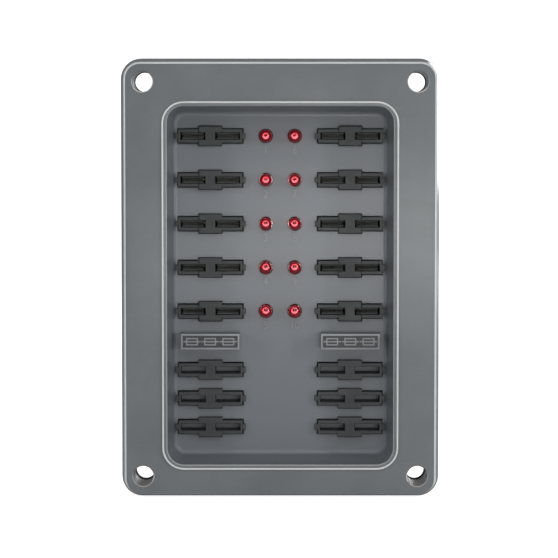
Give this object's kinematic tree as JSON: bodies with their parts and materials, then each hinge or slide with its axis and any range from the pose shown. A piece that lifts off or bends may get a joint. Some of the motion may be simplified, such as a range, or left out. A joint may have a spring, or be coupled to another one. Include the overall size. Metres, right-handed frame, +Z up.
{
  "type": "blade fuse holder panel",
  "caption": "Flush-mounted blade fuse holder: a deep grey flanged tray with black fuse sockets, indicator lamps and pockets for spare fuses.",
  "frame": {"origin": "centre of the four mounting holes, on the rear face of the foam gasket, where the unit meets the panel it is screwed to", "axes": "+X to the viewer's right, +Z up, +Y from the front into the panel; the fuse bay faces -Y"},
  "size_m": [0.1272, 0.0438, 0.1756],
  "materials": {
    "housing_grey": "satin moulded, mid grey with a blue cast",
    "socket_black": "satin moulded black",
    "gasket_foam": "matt closed-cell foam",
    "contact_metal": "tin-plated brass, slightly dull",
    "led_red": "clear red epoxy",
    "board_green": "green solder mask over glass-fibre board",
    "resistor_black": "conformal dipped black",
    "screw_steel": "zinc plated"
  },
  "bodies": {
    "root": {"housing": "housing_grey", "flange_gasket": "gasket_foam", "fuse_socket_01": "socket_black", "fuse_socket_02": "socket_black", "fuse_socket_03": "socket_black", "fuse_socket_04": "socket_black", "fuse_socket_05": "socket_black", "fuse_socket_06": "socket_black", "fuse_socket_07": "socket_black", "fuse_socket_08": "socket_black", "fuse_socket_09": "socket_black", "fuse_socket_10": "socket_black", "spare_socket_1": "socket_black", "spare_socket_2": "socket_black", "spare_socket_3": "socket_black", "spare_socket_4": "socket_black", "spare_socket_5": "socket_black", "spare_socket_6": "socket_black", "feed_clip_01": "contact_metal", "load_clip_01": "contact_metal", "feed_clip_02": "contact_metal", "load_clip_02": "contact_metal", "feed_clip_03": "contact_metal", "load_clip_03": "contact_metal", "feed_clip_04": "contact_metal", "load_clip_04": "contact_metal", "feed_clip_05": "contact_metal", "load_clip_05": "contact_metal", "feed_clip_06": "contact_metal", "load_clip_06": "contact_metal", "feed_clip_07": "contact_metal", "load_clip_07": "contact_metal", "feed_clip_08": "contact_metal", "load_clip_08": "contact_metal", "feed_clip_09": "contact_metal", "load_clip_09": "contact_metal", "feed_clip_10": "contact_metal", "load_clip_10": "contact_metal", "indicator_led_01": "led_red", "indicator_led_02": "led_red", "indicator_led_03": "led_red", "indicator_led_04": "led_red", "indicator_led_05": "led_red", "indicator_led_06": "led_red", "indicator_led_07": "led_red", "indicator_led_08": "led_red", "indicator_led_09": "led_red", "indicator_led_10": "led_red", "circuit_board": "board_green", "resistor_network_left": "resistor_black", "resistor_network_right": "resistor_black", "board_screw_1": "screw_steel", "board_screw_2": "screw_steel", "board_screw_3": "screw_steel", "board_screw_4": "screw_steel"}
  },
  "joints": []
}
